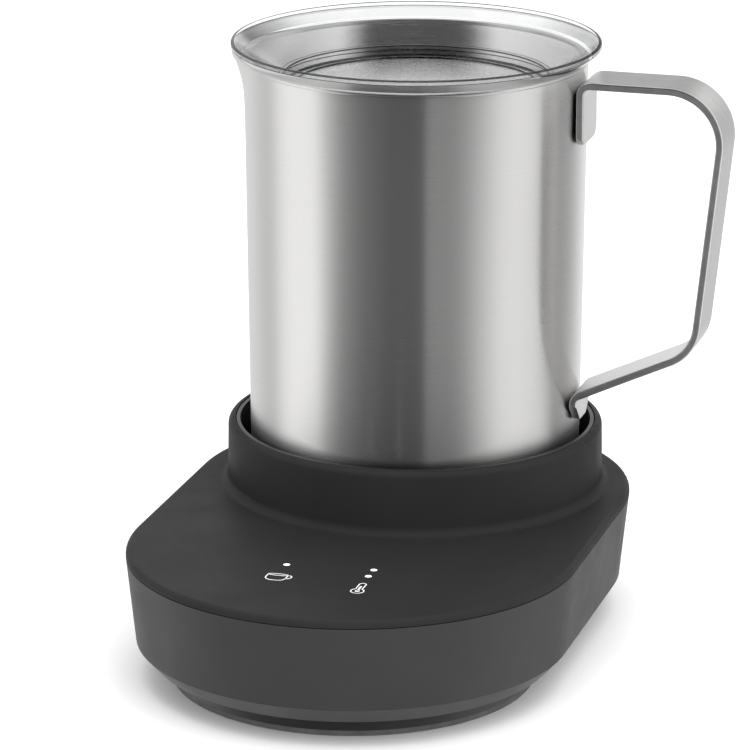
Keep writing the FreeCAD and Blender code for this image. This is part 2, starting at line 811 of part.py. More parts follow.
# ---------------------------------------------------------------- jug
OUTSIDE = [("0", "jug_floor_under"), ("jug_low_radius - jug_corner", "jug_floor_under"),
           ("jug_low_radius - jug_corner_cut", "jug_floor_under + jug_corner_cut"),
           ("jug_low_radius", "jug_floor_under + jug_corner"),
           ("jug_radius", "jug_rim"), ("0", "jug_rim")]
INSIDE = [("0", "jug_floor"), ("inside_floor_radius", "jug_floor"),
          ("inside_corner_radius", "inside_corner_level"),
          ("jug_low_radius - jug_wall", "inside_wall_level"),
          ("jug_radius - jug_wall", "jug_rim"), ("0", "jug_rim")]
SPOUT = [("spout_low", "spout_low_level"), ("spout_mid", "spout_mid_level"),
         ("spout_top", "jug_rim")]


def spout_sketches(body, prefix, less):
    """Three circles that swell towards the rim, all on one centre beside the jug axis."""
    rings = []
    for step, (radius, level) in enumerate(SPOUT):
        ring_sketch = add_sketch(body, "%s_%d" % (prefix, step), level=level)
        add_circle(ring_sketch, radius + less, "- spout_centre", "0")
        rings.append(ring_sketch)
    return rings


jug = new_body("jug_shell")
jug_outside = add_sketch(jug, "jug_outside", "XZ_Plane")
add_polygon(jug_outside, OUTSIDE)
turn(jug, jug_outside, "jug_body")
loft(jug, spout_sketches(jug, "spout_outside", ""), "spout", ruled=False)
jug_inside = add_sketch(jug, "jug_inside", "XZ_Plane")
add_polygon(jug_inside, INSIDE)
turn(jug, jug_inside, "jug_hollow", cut=True)
loft(jug, spout_sketches(jug, "spout_inside", " - jug_wall"), "spout_hollow", True, False)

turned_node("jug_base_disc", [
    ("0", "disc_low"), ("disc_radius - disc_bevel", "disc_low"),
    ("disc_radius", "disc_low + disc_bevel"),
    ("disc_radius", "jug_floor_under"), ("0", "jug_floor_under")])
turned_node("whisk_post", [
    ("0", "jug_floor"), ("pin_radius", "jug_floor"),
    ("pin_radius", "pin_top - pin_bevel"), ("pin_radius - pin_bevel", "pin_top"),
    ("0", "pin_top")])

# ---------------------------------------------------------------- handle
strap = doc.addObject("PartDesign::Body", "strap_blank")
strap_path = add_sketch(strap, "strap_path", "XZ_Plane")
add_rounded_path(strap_path, [
    ("high_tab", "high_tab_end", None),
    ("high_tab", "high_run", "tab_bend"),
    ("high_reach", "high_run", "high_bend"),
    ("low_reach", "low_reach_level", "low_bend"),
    ("low_tab", "low_tab_level", "tab_bend"),
    ("low_tab", "low_tab_end", None)])
strap_section = add_sketch(strap, "strap_section", level="high_tab_end")
add_polygon(strap_section, [
    ("high_tab - strap_half_thick", "- strap_half_width"),
    ("high_tab + strap_half_thick", "- strap_half_width"),
    ("high_tab + strap_half_thick", "strap_half_width"),
    ("high_tab - strap_half_thick", "strap_half_width")])
sweep = strap.newObject("PartDesign::AdditivePipe", "strap_sweep")
sweep.Profile = strap_section
sweep.Spine = strap_path
strap.Tip = sweep
doc.recompute()


def is_tab_corner(end):
    """Test for the two short edges across the thickness at one end of the strap."""
    def wanted(edge):
        box = edge.BoundBox
        return box.XLength > 1 and box.YLength < NEAR and abs(box.ZMax - value(end)) < NEAR
    return wanted


def is_strap_side(edge):
    """Test for the long edges that run along both sides of the strap."""
    side = abs(abs(edge.CenterOfMass.y) - value("strap_half_width")) < NEAR
    return side and edge.BoundBox.YLength < NEAR and edge.Length > value("strap_half_width")


dress(strap, "Fillet", "high_tab_corner", "high_tab_rounding", is_tab_corner("high_tab_end"))
dress(strap, "Chamfer", "low_tab_corner", "low_tab_bevel", is_tab_corner("low_tab_end"))
dress(strap, "Fillet", "strap_edge", "strap_softening", is_strap_side)

former = doc.addObject("PartDesign::Body", "wall_former")
former_outline = add_sketch(former, "former_outline", "XZ_Plane")
add_polygon(former_outline, OUTSIDE)
turn(former, former_outline, "former_body")
handle = doc.addObject("Part::Cut", "handle_strap")
handle.Label = "handle_strap"
handle.Base = strap
handle.Tool = former
nodes.append(handle)

# ---------------------------------------------------------------- lid
turned_node("lid_shell", [
    ("0", "lid_under"), ("lid_step_outer", "lid_under"), ("lid_step_outer", "lid_step_low"),
    ("lid_plug", "lid_plug_level"), ("lid_plug", "lid_seat"), ("lid_seat_outer", "lid_seat"),
    ("lid_radius", "lid_edge_low"), ("lid_radius", "lid_top"), ("lid_top_inner", "lid_top"),
    ("lid_flare_inner", "lid_flare_level"), ("lid_shelf", "lid_step_top"),
    ("lid_step", "lid_step_top"), ("lid_step", "lid_floor"), ("lid_ring_outer", "lid_floor"),
    ("lid_ring_outer", "lid_ring_top"), ("lid_ring_inner", "lid_ring_top"),
    ("lid_ring_inner", "lid_floor"), ("0", "lid_floor")])

# ---------------------------------------------------------------- whisk
turned_node("whisk_hub", [
    ("whisk_bore", "whisk_low"), ("whisk_magnet_bore", "whisk_low"),
    ("whisk_magnet_bore", "whisk_magnet_top"), ("whisk_magnet_radius", "whisk_magnet_top"),
    ("whisk_magnet_radius", "whisk_low"), ("whisk_disc", "whisk_low"),
    ("whisk_disc", "whisk_disc_top"), ("whisk_neck", "whisk_neck_low"),
    ("whisk_neck", "whisk_top"), ("whisk_bore", "whisk_top")])
turned_node("whisk_magnet", tube_points(
    "whisk_magnet_bore", "whisk_magnet_radius", "whisk_low", "whisk_magnet_top"))

froth_wire = doc.addObject("Part::Torus", "froth_wire")
froth_wire.setExpression("Radius1", formula("froth_radius"))
froth_wire.setExpression("Radius2", formula("froth_wire"))
froth_wire.setExpression("Placement.Base.z", formula("froth_level"))
arms = []
for number in range(ARM_COUNT):
    turn_angle = math.radians(360 / ARM_COUNT * number)
    out = Vector(math.cos(turn_angle), math.sin(turn_angle), 0)
    arm = doc.addObject("Part::Cylinder", "froth_arm_%d" % number)
    arm.setExpression("Radius", formula("arm_radius"))
    arm.setExpression("Height", formula("froth_radius - whisk_disc"))
    arm.Placement = FreeCAD.Placement(out * value("whisk_disc"),
                                      FreeCAD.Rotation(Vector(0, 0, 1), out))
    arm.setExpression("Placement.Base.z", formula("froth_level"))
    arms.append(arm)
spider = doc.addObject("Part::MultiFuse", "froth_spider")
spider.Shapes = [froth_wire] + arms
whisk_core = doc.addObject("Part::Cylinder", "whisk_core")
whisk_core.setExpression("Radius", formula("whisk_disc"))
whisk_core.setExpression("Height", formula("whisk_disc_top"))
whisk_ring = doc.addObject("Part::Cut", "whisk_ring")
whisk_ring.Label = "whisk_ring"
whisk_ring.Base = spider
whisk_ring.Tool = whisk_core
nodes.append(whisk_ring)

# ---------------------------------------------------------------- checks and export
doc.recompute()
for item in doc.Objects:
    for word in item.State:
        if word in ("Invalid", "Error"):
            raise SystemExit("%s is %s" % (item.Label, word))
for text, removed in cuts:
    if removed <= 0:
        raise SystemExit("%s removed nothing" % text)
for item in nodes:
    shape = item.Shape
    if shape.isNull() or not shape.isValid():
        raise SystemExit("%s has no valid shape" % item.Label)
    if len(shape.Solids) != 1:
        raise SystemExit("%s has %d solids" % (item.Label, len(shape.Solids)))
for item in nodes:
    item.Shape.exportStep("parts/%s.step" % item.Label)
    box = item.Shape.BoundBox
    size = (box.XMin, box.XMax, box.YMin, box.YMax, box.ZMin, box.ZMax)
    print(item.Label, " ".join("%.1f" % number for number in size))
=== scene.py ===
"""Milk frother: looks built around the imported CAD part, in metres, in the part's own frame."""
import math

import bmesh
import bpy
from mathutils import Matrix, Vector


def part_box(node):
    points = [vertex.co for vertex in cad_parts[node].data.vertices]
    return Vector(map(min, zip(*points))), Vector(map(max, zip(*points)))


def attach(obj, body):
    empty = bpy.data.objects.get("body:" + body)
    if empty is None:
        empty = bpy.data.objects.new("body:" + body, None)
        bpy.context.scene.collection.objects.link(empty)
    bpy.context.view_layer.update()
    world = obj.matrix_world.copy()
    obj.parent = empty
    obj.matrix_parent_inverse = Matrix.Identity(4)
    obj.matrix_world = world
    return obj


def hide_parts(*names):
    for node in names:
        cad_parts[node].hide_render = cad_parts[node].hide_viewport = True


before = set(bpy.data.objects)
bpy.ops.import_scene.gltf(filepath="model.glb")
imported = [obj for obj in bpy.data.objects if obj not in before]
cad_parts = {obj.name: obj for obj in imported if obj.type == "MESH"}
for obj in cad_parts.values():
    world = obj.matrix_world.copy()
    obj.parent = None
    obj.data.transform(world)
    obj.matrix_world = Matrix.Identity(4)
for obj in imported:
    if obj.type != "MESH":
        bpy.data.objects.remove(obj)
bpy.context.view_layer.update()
MM = 0.001
CORNER_STEPS = 6
SHARP_ANGLE = 35
TINY = 1e-6


# ------------------------------------------------------------------ mesh helpers
def rounded(points, radii):
    """Outline through (radius, level) points; radii gives the corner radius at an index."""
    result = []
    for index, (r, z) in enumerate(points):
        radius = radii.get(index, 0.0)
        if radius == 0.0:
            result.append((r, z))
            continue
        corner = Vector((r, z))
        before = Vector(points[index - 1]) - corner
        after = Vector(points[(index + 1) % len(points)]) - corner
        before.normalize()
        after.normalize()
        half = before.angle(after) / 2
        reach = radius / math.tan(half)
        centre = corner + (before + after).normalized() * (radius / math.sin(half))
        start = corner + before * reach - centre
        end = corner + after * reach - centre
        sweep = start.angle_signed(end)
        for step in range(CORNER_STEPS + 1):
            angle = -sweep * step / CORNER_STEPS
            turned = Vector((start.x * math.cos(angle) - start.y * math.sin(angle),
                             start.x * math.sin(angle) + start.y * math.cos(angle)))
            result.append(tuple(centre + turned))
    return result


def smooth(obj):
    """Smooth shading, with an edge kept wherever faces meet at a sharp angle."""
    for face in obj.data.polygons:
        face.use_smooth = True
    obj.data.set_sharp_from_angle(angle=math.radians(SHARP_ANGLE))


def new_object(name, mesh, body, material):
    """Puts a finished mesh in the scene as a piece that rides on a body."""
    obj = bpy.data.objects.new(name, mesh)
    bpy.context.scene.collection.objects.link(obj)
    mesh.materials.append(material)
    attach(obj, body)
    return obj


def lathe(name, outline, body, material, steps=160, closed=True, reach=None):
    """Revolves an outline of (radius, level) about Z.

    reach(r, z, angle) gives the radius in one direction where the piece isn't round.
    """
    mesh = bpy.data.meshes.new(name)
    bm = bmesh.new()
    rings = []
    for r, z in outline:
        if r < TINY:
            rings.append([bm.verts.new((0, 0, z))])
            continue
        ring = []
        for step in range(steps):
            angle = 2 * math.pi * step / steps
            radius = reach(r, z, angle) if reach else r
            ring.append(bm.verts.new((radius * math.cos(angle), radius * math.sin(angle), z)))
        rings.append(ring)
    pairs = list(zip(rings, rings[1:]))
    if closed and len(rings[0]) > 1:
        pairs.append((rings[-1], rings[0]))
    for low, high in pairs:
        for step in range(steps):
            after = (step + 1) % steps
            if len(low) == 1 and len(high) == 1:
                continue
            if len(low) == 1:
                bm.faces.new((low[0], high[after], high[step]))
            elif len(high) == 1:
                bm.faces.new((low[step], low[after], high[0]))
            else:
                bm.faces.new((low[step], low[after], high[after], high[step]))
    bmesh.ops.recalc_face_normals(bm, faces=bm.faces)
    bm.to_mesh(mesh)
    bm.free()
    obj = new_object(name, mesh, body, material)
    smooth(obj)
    return obj


def ribbon(name, strokes, width, level, thick, body, material):
    """Flat printed lines; a stroke is a list of (x, y) points, closed if its ends meet."""
    mesh = bpy.data.meshes.new(name)
    bm = bmesh.new()
    for stroke in strokes:
        spots = [Vector(p) for p in stroke]
        closed = (spots[0] - spots[-1]).length < TINY
        if closed:
            spots = spots[:-1]
        count = len(spots)
        sides = []
        for index in range(count):
            behind = spots[index - 1] if closed or index > 0 else spots[index]
            ahead = spots[index]
            if closed or index < count - 1:
                ahead = spots[(index + 1) % count]
            along = (ahead - behind).normalized()
            across = Vector((-along.y, along.x)) * width / 2
            row = []
            for z in (level, level + thick):
                for side in (1, -1):
                    spot = spots[index] + across * side
                    row.append(bm.verts.new((spot.x, spot.y, z)))
            sides.append(row)
        runs = count if closed else count - 1
        for index in range(runs):
            a = sides[index]
            b = sides[(index + 1) % count]
            bm.faces.new((a[2], a[3], b[3], b[2]))
            bm.faces.new((a[1], a[0], b[0], b[1]))
            bm.faces.new((a[0], a[2], b[2], b[0]))
            bm.faces.new((a[3], a[1], b[1], b[3]))
        if not closed:
            bm.faces.new((sides[0][0], sides[0][1], sides[0][3], sides[0][2]))
            bm.faces.new((sides[-1][0], sides[-1][2], sides[-1][3], sides[-1][1]))
    bmesh.ops.recalc_face_normals(bm, faces=bm.faces)
    bm.to_mesh(mesh)
    bm.free()
    new_object(name, mesh, body, material)


def arc(centre, radius, start, end, steps=12, squeeze=1.0):
    """Points on an arc, angles in degrees; squeeze flattens it along y."""
    spots = []
    for step in range(steps + 1):
        angle = math.radians(start + (end - start) * step / steps)
        spots.append((centre[0] + radius * math.cos(angle),
                      centre[1] + radius * squeeze * math.sin(angle)))
    return spots


# ------------------------------------------------------------------ material helpers
class Nodes:
    """Shorthand for building one node material."""

    def __init__(self, name):
        self.material = bpy.data.materials.new(name)
        self.material.use_nodes = True
        self.tree = self.material.node_tree
        self.shader = self.tree.nodes["Principled BSDF"]
        self.place = self.add("ShaderNodeTexCoord").outputs["Object"]

    def add(self, kind, **values):
        """A new node with the given properties."""
        node = self.tree.nodes.new(kind)
        for key, setting in values.items():
            setattr(node, key, setting)
        return node

    def link(self, source, target):
        """Joins an output socket to an input socket."""
        self.tree.links.new(source, target)

    def noise(self, scale, stretch=(1, 1, 1), detail=3.0, rough=0.5):
        """Noise with features of about 1/scale metres, stretched along the axes."""
        mapping = self.add("ShaderNodeMapping")
        mapping.inputs["Scale"].default_value = stretch
        self.link(self.place, mapping.inputs["Vector"])
        node = self.add("ShaderNodeTexNoise")
        node.inputs["Scale"].default_value = scale
        node.inputs["Detail"].default_value = detail
        node.inputs["Roughness"].default_value = rough
        self.link(mapping.outputs["Vector"], node.inputs["Vector"])
        return node.outputs["Fac"]

    def span(self, source, low, high, start=0.3, end=0.7):
        """Number from low to high as source goes from start to end."""
        node = self.add("ShaderNodeMapRange")
        node.inputs["From Min"].default_value = start
        node.inputs["From Max"].default_value = end
        node.inputs["To Min"].default_value = low
        node.inputs["To Max"].default_value = high
        self.link(source, node.inputs["Value"])
        return node.outputs["Result"]

    def ramp(self, source, low, high, start=0.3, end=0.7):
        """Colour from low to high as source goes from start to end."""
        node = self.add("ShaderNodeValToRGB")
        first, last = node.color_ramp.elements
        first.position = start
        last.position = end
        first.color = (*low, 1)
        last.color = (*high, 1)
        self.link(source, node.inputs["Fac"])
        return node.outputs["Color"]

    def bump(self, source, height, strength=1.0):
        """Relief of the given height in metres; a second call stacks on the first."""
        node = self.add("ShaderNodeBump")
        node.inputs["Strength"].default_value = strength
        node.inputs["Distance"].default_value = height
        self.link(source, node.inputs["Height"])
        before = self.shader.inputs["Normal"].links
        if before:
            self.link(before[0].from_socket, node.inputs["Normal"])
        self.link(node.outputs["Normal"], self.shader.inputs["Normal"])

    def set(self, **values):
        """Fixed values straight on the shader, names with _ for spaces."""
        for key, setting in values.items():
            self.shader.inputs[key.replace("_", " ")].default_value = setting


def shade(colour, factor):
    """The colour made lighter or darker by a factor."""
    return tuple(min(1.0, part * factor) for part in colour)


def plastic(name, colour, rough, grain=2500.0, depth=0.000012, specular=0.5):
    """Moulded plastic with a fine spark-eroded grain and faint cloudiness."""
    nodes = Nodes(name)
    cloud = nodes.noise(28.0, detail=4.0)
    nodes.link(nodes.ramp(cloud, shade(colour, 0.93), shade(colour, 1.07)),
               nodes.shader.inputs["Base Color"])
    fine = nodes.noise(grain, detail=2.0)
    nodes.link(nodes.span(nodes.noise(90.0), rough - 0.03, rough + 0.04),
               nodes.shader.inputs["Roughness"])
    nodes.bump(fine, depth, 0.6)
    nodes.set(Specular_IOR_Level=specular)
    return nodes.material


def rubber(name, colour):
    """Matt moulded rubber with a coarse cloudy surface."""
    nodes = Nodes(name)
    cloud = nodes.noise(160.0, detail=5.0)
    nodes.link(nodes.ramp(cloud, shade(colour, 0.8), shade(colour, 1.3)),
               nodes.shader.inputs["Base Color"])
    nodes.link(nodes.span(cloud, 0.72, 0.9), nodes.shader.inputs["Roughness"])
    nodes.bump(nodes.noise(1800.0), 0.00002, 0.7)
    nodes.set(Specular_IOR_Level=0.3)
    return nodes.material


def brushed(name, colour, rough, stretch, lines=700.0, grain=0.12, relief=0.000006,
            anisotropic=0.0, vary=0.055, flare=0.0):
    """Brushed metal: stretch squeezes the noise so that its streaks run along the brushing.

    An anisotropic one is brushed round the vertical axis, and flare tips its surface upward.
    """
    nodes = Nodes(name)
    streaks = nodes.noise(lines, stretch, detail=3.0, rough=0.6)
    cloud = nodes.noise(22.0, detail=2.0)
    mix = nodes.add("ShaderNodeMath", operation="MULTIPLY_ADD")
    nodes.link(cloud, mix.inputs[0])
    mix.inputs[1].default_value = 0.25
    nodes.link(streaks, mix.inputs[2])
    tone = nodes.ramp(mix.outputs[0], shade(colour, 1 - grain), shade(colour, 1 + grain / 2),
                      0.4, 0.85)
    nodes.link(tone, nodes.shader.inputs["Base Color"])
    nodes.link(nodes.span(streaks, rough - vary, rough + vary),
               nodes.shader.inputs["Roughness"])
    if flare:
        geometry = nodes.add("ShaderNodeNewGeometry")
        raised = nodes.add("ShaderNodeVectorMath", operation="ADD")
        nodes.link(geometry.outputs["Normal"], raised.inputs[0])
        raised.inputs[1].default_value = (0, 0, flare)
        unit = nodes.add("ShaderNodeVectorMath", operation="NORMALIZE")
        nodes.link(raised.outputs["Vector"], unit.inputs[0])
        nodes.link(unit.outputs["Vector"], nodes.shader.inputs["Normal"])
    nodes.bump(streaks, relief, 0.5)
    nodes.set(Metallic=1.0)
    if anisotropic:
        nodes.set(Anisotropic=anisotropic, Anisotropic_Rotation=0.25)
        tangent = nodes.add("ShaderNodeTangent", direction_type="RADIAL", axis="Z")
        nodes.link(tangent.outputs["Tangent"], nodes.shader.inputs["Tangent"])
    return nodes.material


def turned_metal(name, colour, rough):
    """Metal faced on a lathe: rings about the vertical axis."""
    nodes = Nodes(name)
    rings = nodes.add("ShaderNodeTexWave", wave_type="RINGS", rings_direction="Z")
    rings.inputs["Scale"].default_value = 120.0
    nodes.link(nodes.place, rings.inputs["Vector"])
    nodes.link(nodes.ramp(rings.outputs["Fac"], shade(colour, 0.86), colour),
               nodes.shader.inputs["Base Color"])
    nodes.link(nodes.span(nodes.noise(60.0), rough - 0.04, rough + 0.06),
               nodes.shader.inputs["Roughness"])
    nodes.bump(rings.outputs["Fac"], 0.000006, 0.5)
    nodes.set(Metallic=1.0)
    return nodes.material


def board(name):
    """Solder mask with copper tracks showing through."""
    nodes = Nodes(name)
    bricks = nodes.add("ShaderNodeTexBrick")
    bricks.inputs["Scale"].default_value = 260.0
    bricks.inputs["Color1"].default_value = (0.01, 0.11, 0.045, 1)
    bricks.inputs["Color2"].default_value = (0.015, 0.15, 0.06, 1)
    bricks.inputs["Mortar"].default_value = (0.03, 0.24, 0.09, 1)
    bricks.inputs["Mortar Size"].default_value = 0.06
    nodes.link(nodes.place, bricks.inputs["Vector"])
    nodes.link(bricks.outputs["Color"], nodes.shader.inputs["Base Color"])
    nodes.link(nodes.span(nodes.noise(200.0), 0.25, 0.4), nodes.shader.inputs["Roughness"])
    nodes.bump(bricks.outputs["Fac"], 0.00003, 0.5)
    return nodes.material


def clear(name, tint, edge, rough, gloss, slope=(0.6, 1.0), power=5.0):
    """Clear moulded plastic: see-through face on, tinted and mirror-like at a slant.

    The tint turns to edge as the slant goes through slope; gloss is the share of mirror at
    either end, and power says how late it rises.
    """
    nodes = Nodes(name)
    flow = nodes.noise(60.0, detail=1.0)
    nodes.link(nodes.ramp(nodes.noise(35.0), (0.9, 0.9, 0.9), (1.0, 1.0, 1.0)),
               nodes.shader.inputs["Base Color"])
    nodes.link(nodes.span(nodes.noise(400.0), rough, rough + 0.03),
               nodes.shader.inputs["Roughness"])
    nodes.bump(flow, 0.00002, 0.2)
    nodes.set(Metallic=1.0)
    slant = nodes.add("ShaderNodeLayerWeight")
    slant.inputs["Blend"].default_value = 0.5
    through = nodes.add("ShaderNodeBsdfTransparent")
    nodes.link(nodes.ramp(slant.outputs["Facing"], tint, edge, *slope),
               through.inputs["Color"])
    steep = nodes.add("ShaderNodeMath", operation="POWER")
    nodes.link(slant.outputs["Facing"], steep.inputs[0])
    steep.inputs[1].default_value = power
    mix = nodes.add("ShaderNodeMixShader")
    nodes.link(nodes.span(steep.outputs[0], gloss[0], gloss[1], 0.0, 1.0), mix.inputs[0])
    nodes.link(through.outputs["BSDF"], mix.inputs[1])
    nodes.link(nodes.shader.outputs["BSDF"], mix.inputs[2])
    output = nodes.tree.nodes["Material Output"]
    nodes.link(mix.outputs["Shader"], output.inputs["Surface"])
    return nodes.material


def winding(name):
    """Enamelled copper wire wound side by side round the axis."""
    nodes = Nodes(name)
    bands = nodes.add("ShaderNodeTexWave", wave_type="BANDS", bands_direction="Z")
    bands.inputs["Scale"].default_value = 700.0
    bands.inputs["Distortion"].default_value = 0.3
    nodes.link(nodes.place, bands.inputs["Vector"])
    nodes.link(nodes.ramp(bands.outputs["Fac"], (0.25, 0.08, 0.03), (0.8, 0.38, 0.2)),
               nodes.shader.inputs["Base Color"])
    nodes.bump(bands.outputs["Fac"], 0.0001, 0.8)
    nodes.set(Metallic=1.0, Roughness=0.35)
    return nodes.material


def print_white(name, glow=0.0):
    """Pad-printed white ink, slightly uneven."""
    nodes = Nodes(name)
    spots = nodes.noise(900.0)
    nodes.link(nodes.ramp(spots, (0.78, 0.78, 0.77), (0.92, 0.92, 0.91)),
               nodes.shader.inputs["Base Color"])
    nodes.link(nodes.span(spots, 0.4, 0.55), nodes.shader.inputs["Roughness"])
    if glow:
        nodes.set(Emission_Color=(1.0, 0.99, 0.97, 1), Emission_Strength=glow)
    return nodes.material


# The top panel and the side wall are one dark plastic: the panel's darker colour is painted
# shade on the top, and the wall's lighter colour is painted light on the sides.
panel = plastic("panel_satin_painted_shade", (0.0235, 0.0235, 0.0245), 0.48, specular=0.055)
wall = plastic("wall_satin_painted_light", (0.037, 0.037, 0.0385), 0.46, specular=0.24)
black = plastic("black_plastic", (0.018, 0.018, 0.019), 0.5)
liner = plastic("liner_plastic", (0.022, 0.022, 0.023), 0.38)
white = plastic("white_plastic", (0.7, 0.7, 0.68), 0.45)
blue = plastic("blue_sleeve", (0.02, 0.06, 0.25), 0.3)
foot_rubber = rubber("foot_rubber", (0.1, 0.1, 0.1))
pad_foam = rubber("pad_foam", (0.06, 0.06, 0.065))
silicone = rubber("seal_silicone", (0.3, 0.05, 0.04))
SPUN = {"stretch": (0.02, 0.02, 2.6), "lines": 1200.0, "grain": 0.04, "relief": 0.0000008,
        "anisotropic": 0.95, "vary": 0.03}
steel_jug = brushed("jug_steel", (0.7, 0.695, 0.69), 0.3, **SPUN)
# The inside is the jug's own steel made lighter (0.78 against 0.7), with its shading normal
# tipped upward by flare: painted light on the inner wall.
steel_inside_painted_light = brushed("jug_inside_steel_painted_light", (0.78, 0.775, 0.77), 0.25, flare=0.4, **SPUN)
steel_handle = brushed("handle_steel", (0.8, 0.795, 0.79), 0.34, (0.3, 1.5, 0.3))
steel_plain = brushed("plated_steel", (0.6, 0.6, 0.6), 0.32, (1, 1, 1), lines=250.0)
steel_sheath = brushed("sheath_steel", (0.35, 0.33, 0.31), 0.4, (1, 1, 1), lines=300.0)
plate_metal = turned_metal("plate_metal", (0.75, 0.75, 0.76), 0.32)
bronze = brushed("bush_bronze", (0.6, 0.42, 0.2), 0.4, (1, 1, 1), lines=600.0)
ferrite = plastic("ferrite", (0.05, 0.05, 0.055), 0.55, grain=1200.0, depth=0.00004)
green_board = board("board_green")
copper = winding("copper_winding")
lid_clear = clear("lid_clear", (0.965, 0.968, 0.968), (0.84, 0.85, 0.85), 0.02, (0.03, 0.9))
lid_frost = clear("lid_frosted_floor", (0.98, 0.983, 0.983), (0.9, 0.905, 0.905), 0.25,
                  (0.04, 0.98), power=0.85)
# The flare's underside turns almost black at a slant: a painted dark reflection of the jug's rim
# and wall beneath it.
lid_flare_painted_dark = clear("lid_flare_painted_dark", (0.8, 0.806, 0.806), (0.05, 0.052, 0.052), 0.03, (0.12, 0.95),
                  slope=(0.35, 0.6), power=1.0)
# The lid's edge faces are tinted nearly black: painted dark lines in place of the refraction at
# the rim, the step and the floor ring.
lid_edge_painted_dark = clear("lid_edge_painted_dark", (0.12, 0.125, 0.125), (0.06, 0.063, 0.063), 0.04, (0.05, 0.6))
ink = print_white("white_ink")
lamp = print_white("lamp_white", glow=0.6)
hub_black = plastic("hub_black", (0.018, 0.018, 0.019), 0.45)
steel_whisk = brushed("whisk_wire_steel", (0.7, 0.7, 0.7), 0.25, (1, 1, 1), lines=500.0)

# Which CAD nodes get which finish.
FINISH = {
    panel: ["top_cover"],
    wall: ["side_housing"],
    liner: ["socket_liner", "bottom_cover"],
    black: ["motor_end_cap", "thermal_cutout", "transformer", "buzzer"],
    blue: ["relay", "capacitor"],
    foot_rubber: ["foot_ring", "cord_gland"],
    pad_foam: ["touch_pad_left", "touch_pad_right"],
    silicone: ["plate_seal"],
    plate_metal: ["heater_plate", "jug_base_disc"],
    steel_sheath: ["heating_element"],
    bronze: ["temperature_sensor", "upper_bush", "lower_bush"],
    steel_plain: ["motor_can", "motor_bracket", "bracket_screw_left", "bracket_screw_right",
                  "motor_shaft", "whisk_post"] + ["case_screw_%d" % n for n in (1, 2, 3, 4)],
    ferrite: ["motor_field_magnet", "drive_magnet", "whisk_magnet"],
    copper: ["armature"],
    white: ["magnet_carrier"],
    green_board: ["control_board", "power_board"],
    lamp: ["light_guide"],
    steel_handle: ["handle_strap"],
    steel_jug: ["jug_shell"],
    lid_clear: ["lid_shell"],
    hub_black: ["whisk_hub"],
}
for material, names in FINISH.items():
    for name in names:
        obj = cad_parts[name]
        obj.data.materials.clear()
        obj.data.materials.append(material)


# ------------------------------------------------------------------ jug
jug_low, jug_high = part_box("jug_shell")
RIM = jug_high.z
JUG_RADIUS = jug_high.x
SHELL_LOW = jug_low.z
WALL = 1.0 * MM
LOW_RADIUS = 48.6 * MM
CORNER = 4.0 * MM
INSIDE_CORNER = 3 * MM
BEAD = 0.6 * MM
BEAD_SET = 0.35 * MM
BEAD_START = -70
BEAD_SWEEP = 250
BEAD_STEPS = 14
WALL_ROWS = 60
FLOOR_STEPS = 8
# The spout is a second circle inside the jug that swells towards the rim.
SPOUT_CENTRE = 22.0 * MM
SPOUT_START = RIM - 22.5 * MM
SPOUT_LOW = 27.5 * MM
SPOUT_GROWTH = 4.9 * MM
SPOUT_POWER = 1.9
SPOUT_BLEND = 0.7 * MM
BLEND_END = 12


def spout_radius(z, angle):
    """Distance from the axis to the pulled lip, which swells towards the rim."""
    away = angle - math.pi
    across = SPOUT_CENTRE * math.sin(away)
    if z <= SPOUT_START or math.cos(away) <= 0:
        return 0.0
    rise = min(1.0, (z - SPOUT_START) / (RIM - SPOUT_START))
    swell = SPOUT_LOW + SPOUT_GROWTH * rise ** SPOUT_POWER
    if swell <= abs(across):
        return 0.0
    return SPOUT_CENTRE * math.cos(away) + math.sqrt(swell ** 2 - across ** 2)


def jug_reach(r, z, angle):
    """The wall's own radius, or the spout's where that is further out, blended softly."""
    if r < LOW_RADIUS - 2 * MM:
        return r
    straight = LOW_RADIUS + (JUG_RADIUS - LOW_RADIUS) * (z - SHELL_LOW) / (RIM - SHELL_LOW)
    offset = straight - r
    out = spout_radius(z, angle) - offset
    gap = (out - r) / SPOUT_BLEND
    if gap < -BLEND_END:
        return r
    if gap > BLEND_END:
        return out
    return r + SPOUT_BLEND * math.log1p(math.exp(gap))


def wall_row(z, inset=0.0):
    """Radius of the slightly tapered wall at a level."""
    share = (z - SHELL_LOW) / (RIM - SHELL_LOW)
    return LOW_RADIUS + (JUG_RADIUS - LOW_RADIUS) * share - inset


